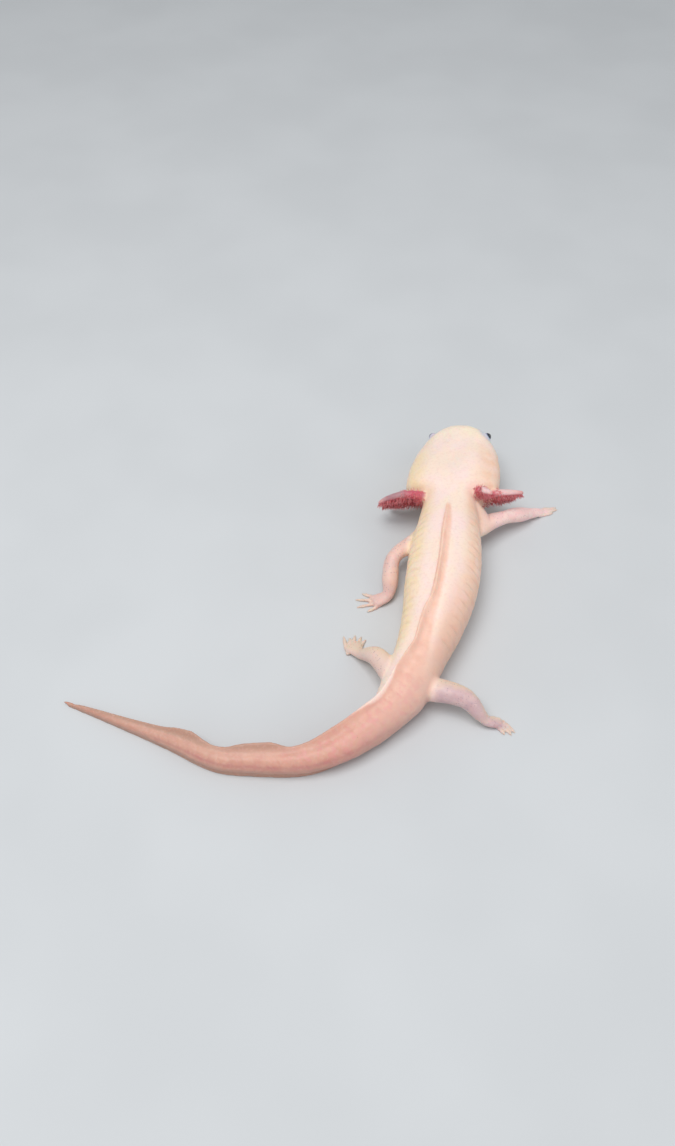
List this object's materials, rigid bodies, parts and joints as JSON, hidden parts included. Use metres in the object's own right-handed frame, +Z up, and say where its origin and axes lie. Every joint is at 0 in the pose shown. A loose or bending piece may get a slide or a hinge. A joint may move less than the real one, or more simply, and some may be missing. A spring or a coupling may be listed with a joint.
{
  "type": "axolotl",
  "caption": "Pale axolotl lying flat with a broad head, feathery gills, splayed legs and a curving finned tail.",
  "frame": {"origin": "on the floor under the pelvis, in the middle of the flat where the belly rests", "axes": "+Z up; the head points towards -Y and the animal's left side is +X; the tail curves round to +X"},
  "size_m": [0.1712, 0.1405, 0.0234],
  "materials": {
    "cream": "moist pale cream skin, satin, of a soft-bodied animal",
    "salmon": "moist salmon-pink skin, satin",
    "lilac": "moist lilac-pink skin, satin",
    "gill_stalk": "moist greyish pink skin, satin",
    "gill_filament": "wet crimson filaments, glossy",
    "eye": "wet dark eye with a narrow pale ring, glossy"
  },
  "bodies": {
    "root": {"head": "cream", "lower_jaw": "cream", "neck": "cream", "trunk": "cream", "pelvis": "cream", "tail_base": "salmon", "tail_middle": "salmon", "tail_tip": "salmon", "eye_left": "eye", "eye_right": "eye", "dorsal_fin_trunk": "salmon", "dorsal_fin_pelvis": "salmon", "dorsal_fin_tail_base": "salmon", "dorsal_fin_tail_middle": "salmon", "dorsal_fin_tail_tip": "salmon", "ventral_fin_base": "salmon", "ventral_fin_middle": "salmon", "ventral_fin_tip": "salmon", "upper_arm_left": "lilac", "forearm_left": "lilac", "hand_left": "lilac", "thigh_left": "lilac", "shank_left": "lilac", "foot_left": "lilac", "upper_arm_right": "lilac", "forearm_right": "lilac", "hand_right": "lilac", "thigh_right": "lilac", "shank_right": "lilac", "foot_right": "lilac", "gill_stalk_left_1": "gill_stalk", "gill_fringe_left_1": "gill_filament", "gill_stalk_left_2": "gill_stalk", "gill_fringe_left_2": "gill_filament", "gill_stalk_left_3": "gill_stalk", "gill_fringe_left_3": "gill_filament", "gill_stalk_right_1": "gill_stalk", "gill_fringe_right_1": "gill_filament", "gill_stalk_right_2": "gill_stalk", "gill_fringe_right_2": "gill_filament", "gill_stalk_right_3": "gill_stalk", "gill_fringe_right_3": "gill_filament"}
  },
  "joints": []
}
